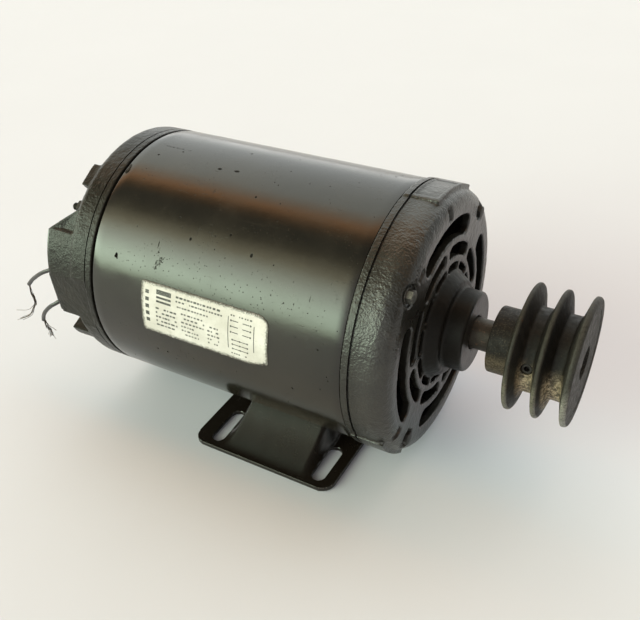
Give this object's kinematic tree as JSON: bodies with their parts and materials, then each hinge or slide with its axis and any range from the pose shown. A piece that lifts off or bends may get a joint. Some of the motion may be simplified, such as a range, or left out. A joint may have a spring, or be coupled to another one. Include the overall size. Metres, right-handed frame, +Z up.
{
  "type": "electric motor",
  "caption": "Open drip-proof three-phase electric motor with rolled shell, cast end shields, pressed foot base, terminal box and a two-groove belt pulley on its shaft.",
  "frame": {"origin": "on the floor, under the middle of the motor's length and on the shaft's vertical plane", "axes": "+X along the shaft towards the pulley, +Z up, shaft axis 88.9 mm above the floor"},
  "size_m": [0.379, 0.1656, 0.1724],
  "materials": {
    "shell_paint": "satin dark grey-green paint on rolled steel",
    "cast_paint": "satin dark paint on a grained casting",
    "base_paint": "gloss black paint on pressed steel plate",
    "laminations": "stacked electrical steel, edge on",
    "copper": "varnished copper winding",
    "aluminium": "die cast, matt",
    "baffle_plastic": "matt black",
    "bearing_steel": "ground",
    "shaft_steel": "ground, lightly oiled",
    "plated_steel": "dull zinc",
    "dark_steel": "black oxide",
    "phenolic": "moulded brown board",
    "brass": "plain",
    "rubber": "matt black",
    "lead_insulation": "black insulation",
    "bare_strands": "frayed tinned copper strands",
    "nameplate": "worn off-white plate",
    "pulley_iron": "cast iron with rust dust in the grooves"
  },
  "bodies": {
    "motor_body": {"bearing_retainer": "plated_steel", "bearing_retainer_screw_1": "plated_steel", "bearing_retainer_screw_2": "plated_steel", "bearing_wave_spring": "bearing_steel", "foot_base": "base_paint", "frame_shell": "shell_paint", "front_air_baffle": "baffle_plastic", "front_bearing_outer_ring": "bearing_steel", "front_end_shield": "cast_paint", "ground_screw": "brass", "inner_lead_1": "lead_insulation", "inner_lead_2": "lead_insulation", "lead_grommet": "rubber", "lead_strands_1": "bare_strands", "lead_strands_2": "bare_strands", "lead_wire_1": "lead_insulation", "lead_wire_2": "lead_insulation", "nameplate": "nameplate", "rear_air_baffle": "baffle_plastic", "rear_bearing_outer_ring": "bearing_steel", "rear_end_shield": "cast_paint", "stator_core": "laminations", "stator_winding": "copper", "terminal_board": "phenolic", "terminal_cover": "shell_paint", "terminal_cover_screw_1": "plated_steel", "terminal_cover_screw_2": "plated_steel", "terminal_stud_1": "brass", "terminal_stud_2": "brass", "terminal_stud_3": "brass", "through_bolt_1": "plated_steel", "through_bolt_2": "plated_steel", "through_bolt_3": "plated_steel", "through_bolt_4": "plated_steel", "through_bolt_nut_1": "dark_steel", "through_bolt_nut_2": "dark_steel", "through_bolt_nut_3": "dark_steel", "through_bolt_nut_4": "dark_steel"},
    "rotor": {"shaft": "shaft_steel", "rotor_core": "laminations", "rotor_cage": "aluminium", "front_bearing_inner_ring": "bearing_steel", "rear_bearing_inner_ring": "bearing_steel", "pulley": "pulley_iron", "pulley_key": "dark_steel", "pulley_set_screw": "dark_steel"},
    "front_bearing_balls": {"front_bearing_cage": "bearing_steel"},
    "rear_bearing_balls": {"rear_bearing_cage": "bearing_steel"}
  },
  "joints": [
    {"name": "rotor_spin", "type": "hinge", "parent": "motor_body", "child": "rotor", "pos_m": [0.058, 0, 0.0889], "axis": [1, 0, 0], "continuous": true},
    {"name": "front_balls_roll", "type": "hinge", "parent": "motor_body", "child": "front_bearing_balls", "pos_m": [0.075, 0, 0.0889], "axis": [1, 0, 0], "continuous": true},
    {"name": "rear_balls_roll", "type": "hinge", "parent": "motor_body", "child": "rear_bearing_balls", "pos_m": [-0.1365, 0, 0.0889], "axis": [1, 0, 0], "continuous": true}
  ],
  "couplings": [
    {"joint": "front_balls_roll", "follows": "rotor_spin", "ratio": 0.3815},
    {"joint": "rear_balls_roll", "follows": "rotor_spin", "ratio": 0.3842}
  ]
}
